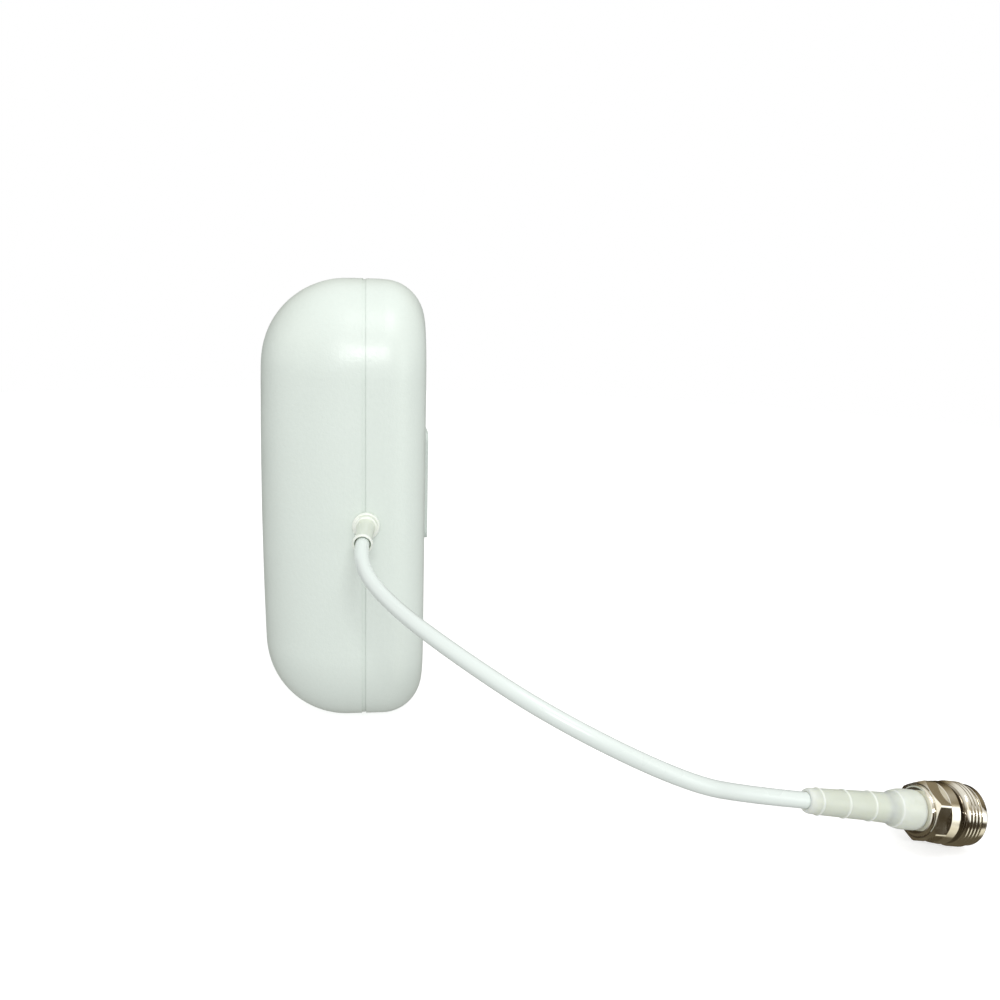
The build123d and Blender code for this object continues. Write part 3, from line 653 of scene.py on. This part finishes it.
def add_pieces():
    cable = free_cable()
    grommet_piece = grommet()
    boot_piece = boot()
    shell = connector_shell()
    ring = back_ring()
    replacements = {
        cable: ("coax_cable", "cable_jacket"),
        grommet_piece: ("cable_grommet", "grommet_vinyl"),
        boot_piece: ("strain_relief_boot", "boot_polymer"),
        shell: ("connector_body", "nickel_plate"),
        ring: ("clamp_ring", "nickel_plate"),
    }
    for piece, (node, slot) in replacements.items():
        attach(piece, "antenna")
        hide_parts(node)
    on_cord = [grommet_piece, boot_piece, shell, ring]
    on_cord += ["inner_cable", "cable_tail", "crimp_ferrule", "connector_insulator"]
    on_cord += ["centre_contact", "pigtail_dielectric"]


# ---------------------------------------------------------------- studio
FLOOR_RADIUS = 0.9
FLOOR_GLOW = 0.66
BACKDROP_RADIUS = 5.9
ROOM_RADIUS = 4.0
AMBIENT_STRENGTH = 0.71
WINDOW_AZIMUTHS = (-56, -24)
WINDOW_SHADE = (0.777, -0.566, -0.272)
LEFT_WALL = (-0.95, -0.18, 0.25)
CAMERA_PLACE = (0.0059, -0.36014, 0.13637)
CAMERA_DIP = 12.447
CAMERA_ROLL = -7.632


def stage_piece(name, builder, material):
    mesh = bpy.data.meshes.new(name)
    builder.to_mesh(mesh)
    builder.free()
    mesh.materials.append(material)
    piece = bpy.data.objects.new(name, mesh)
    bpy.context.collection.objects.link(piece)
    return piece


def sphere(radius, sides):
    builder = bmesh.new()
    bmesh.ops.create_uvsphere(builder, u_segments=sides, v_segments=sides // 2, radius=radius)
    return builder


def floor():
    """Pale paper lit from below as on a light table, so it stays white out to its edge."""
    paint = Paint("floor_paper", (0.55, 0.55, 0.545), 0.9, Specular_IOR_Level=0.1)
    paint.set("Emission Color", (1, 1, 1, 1))
    paint.set("Emission Strength", FLOOR_GLOW)
    paint.mottle(0.05, 0.3, (0.54, 0.54, 0.535))
    builder = bmesh.new()
    bmesh.ops.create_circle(builder, cap_ends=True, segments=96, radius=FLOOR_RADIUS)
    piece = stage_piece("floor", builder, paint.material)
    piece.visible_diffuse = False
    piece.visible_glossy = False
    piece.visible_shadow = False


def backdrop():
    """White surround that only the camera sees."""
    material = bpy.data.materials.new("backdrop_white")
    material.use_nodes = True
    shader = material.node_tree.nodes["Principled BSDF"]
    shader.inputs["Base Color"].default_value = (0, 0, 0, 1)
    shader.inputs["Specular IOR Level"].default_value = 0.0
    shader.inputs["Emission Color"].default_value = (1, 1, 1, 1)
    shader.inputs["Emission Strength"].default_value = 1.0
    piece = stage_piece("backdrop", sphere(BACKDROP_RADIUS, 48), material)
    piece.visible_diffuse = False
    piece.visible_glossy = False
    piece.visible_transmission = False
    piece.visible_shadow = False


def softbox(name, place, target, size, power):
    light = bpy.data.lights.new(name, "AREA")
    light.shape = "RECTANGLE"
    light.size, light.size_y = size
    light.energy = power
    lamp = bpy.data.objects.new(name, light)
    bpy.context.collection.objects.link(lamp)
    lamp.location = place
    lamp.rotation_euler = (Vector(target) - Vector(place)).to_track_quat("-Z", "Y").to_euler()
    lamp.visible_camera = False


def ambient():
    """Even white light from every side, for the matt surfaces."""
    world = bpy.data.worlds.new("studio")
    world.use_nodes = True
    background = world.node_tree.nodes["Background"]
    background.inputs["Color"].default_value = (1.0, 1.0, 1.0, 1)
    background.inputs["Strength"].default_value = AMBIENT_STRENGTH
    bpy.context.scene.world = world


def facing(tree, place, direction, dark, full):
    """0 to 1 as the cosine between a point's direction and the given one goes from dark to full."""
    dot = tree.nodes.new("ShaderNodeVectorMath")
    dot.operation = "DOT_PRODUCT"
    dot.inputs[1].default_value = Vector(direction).normalized()
    tree.links.new(place, dot.inputs[0])
    fall = tree.nodes.new("ShaderNodeMapRange")
    fall.interpolation_type = "SMOOTHSTEP"
    fall.inputs["From Min"].default_value = dark
    fall.inputs["From Max"].default_value = full
    tree.links.new(dot.outputs["Value"], fall.inputs["Value"])
    return fall.outputs["Result"]


def product(tree, first, second):
    both = tree.nodes.new("ShaderNodeMath")
    both.operation = "MULTIPLY"
    tree.links.new(first, both.inputs[0])
    tree.links.new(second, both.inputs[1])
    return both.outputs["Value"]


def by_height(tree, place, stops):
    """Colour by the height of a point's direction, from (height, colour) stops between -1 and 1."""
    split = tree.nodes.new("ShaderNodeSeparateXYZ")
    tree.links.new(place, split.inputs["Vector"])
    height = tree.nodes.new("ShaderNodeMapRange")
    height.inputs["From Min"].default_value = -1.0
    tree.links.new(split.outputs["Z"], height.inputs["Value"])
    ramp = tree.nodes.new("ShaderNodeValToRGB")
    ramp.color_ramp.interpolation = "EASE"
    ramp.color_ramp.elements.remove(ramp.color_ramp.elements[1])
    first = ramp.color_ramp.elements[0]
    first.position, first.color = (stops[0][0] + 1) / 2, (*stops[0][1], 1)
    for z, colour in stops[1:]:
        ramp.color_ramp.elements.new((z + 1) / 2).color = (*colour, 1)
    tree.links.new(height.outputs["Result"], ramp.inputs["Fac"])
    return ramp.outputs["Color"]


def glow(tree, colour, strength=None):
    emission = tree.nodes.new("ShaderNodeEmission")
    tree.links.new(colour, emission.inputs["Color"])
    if strength:
        tree.links.new(strength, emission.inputs["Strength"])
    return emission.outputs["Emission"]


def reflected_room():
    """Dim warm room with a tall bright window and a pale left wall, which only reflections see.

    The window stands between two azimuths, but for a round dark patch low in it.
    """
    material = bpy.data.materials.new("room_glow")
    material.use_nodes = True
    tree = material.node_tree
    tree.nodes.clear()
    unit = tree.nodes.new("ShaderNodeVectorMath")
    unit.operation = "NORMALIZE"
    tree.links.new(tree.nodes.new("ShaderNodeTexCoord").outputs["Object"], unit.inputs[0])
    place = unit.outputs["Vector"]

    walls = [(-0.60, (0.12, 0.10, 0.065)), (-0.05, (0.040, 0.029, 0.017)), (0.10, (0.042, 0.030, 0.017))]
    walls += [(0.35, (0.12, 0.09, 0.05)), (0.55, (0.32, 0.27, 0.18)), (0.88, (0.95, 0.94, 0.90))]
    tall = [(-0.95, (0.20, 0.18, 0.13)), (-0.55, (0.80, 0.77, 0.64)), (-0.25, (1.05, 1.03, 0.92))]
    tall += [(0.05, (1.70, 1.75, 1.68)), (0.36, (1.50, 1.50, 1.42)), (0.55, (0.25, 0.22, 0.16))]
    left = [(-0.5, (0.3, 0.3, 0.3)), (0.2, (1.1, 1.1, 1.05))]

    def sideways(azimuth):
        angle = math.radians(azimuth)
        return math.cos(angle), math.sin(angle), 0.0

    first, last = WINDOW_AZIMUTHS
    before_last = facing(tree, place, sideways(last - 90), -0.02, 0.06)
    after_first = facing(tree, place, sideways(first + 90), -0.04, 0.06)
    off_shade = facing(tree, place, WINDOW_SHADE, math.cos(math.radians(5)), math.cos(math.radians(11)))
    window = product(tree, product(tree, before_last, after_first), off_shade)
    left_wall = facing(tree, place, LEFT_WALL, 0.74, 0.95)
    total = glow(tree, by_height(tree, place, walls))
    for stops, strength in ((tall, window), (left, left_wall)):
        both = tree.nodes.new("ShaderNodeAddShader")
        tree.links.new(total, both.inputs[0])
        tree.links.new(glow(tree, by_height(tree, place, stops), strength), both.inputs[1])
        total = both.outputs["Shader"]
    output = tree.nodes.new("ShaderNodeOutputMaterial")
    tree.links.new(total, output.inputs["Surface"])
    material.cycles.emission_sampling = "NONE"
    room = stage_piece("reflected_room", sphere(ROOM_RADIUS, 64), material)
    room.visible_camera = False
    room.visible_diffuse = False
    room.visible_transmission = False
    room.visible_shadow = False


def lighting():
    middle = (0.04, -0.05, 0.06)
    softbox("overhead", (0.30, -0.48, 1.25), middle, (0.5, 0.5), 3.6)
    softbox("front_strip", (0.02, -1.23, 0.68), (0.0, -0.08, 0.115), (0.46, 0.14), 5.1)
    softbox("right_box", (1.05, -0.62, 0.34), (0.15, -0.15, 0.01), (0.55, 0.30), 0.35)


def camera():
    lens = bpy.data.cameras.new("camera")
    lens.lens = 36.0
    lens.sensor_width = 36.0
    lens.clip_start = 0.01
    lens.clip_end = 50.0
    rig = bpy.data.objects.new("camera", lens)
    bpy.context.collection.objects.link(rig)
    dip = Matrix.Rotation(math.radians(90 - CAMERA_DIP), 4, "X")
    roll = Matrix.Rotation(math.radians(CAMERA_ROLL), 4, "Y")
    rig.matrix_world = Matrix.Translation(CAMERA_PLACE) @ dip @ roll
    bpy.context.scene.camera = rig


bpy.context.scene.view_settings.view_transform = "Standard"
dress_cad_nodes()
add_pieces()
floor()
backdrop()
ambient()
reflected_room()
lighting()
camera()
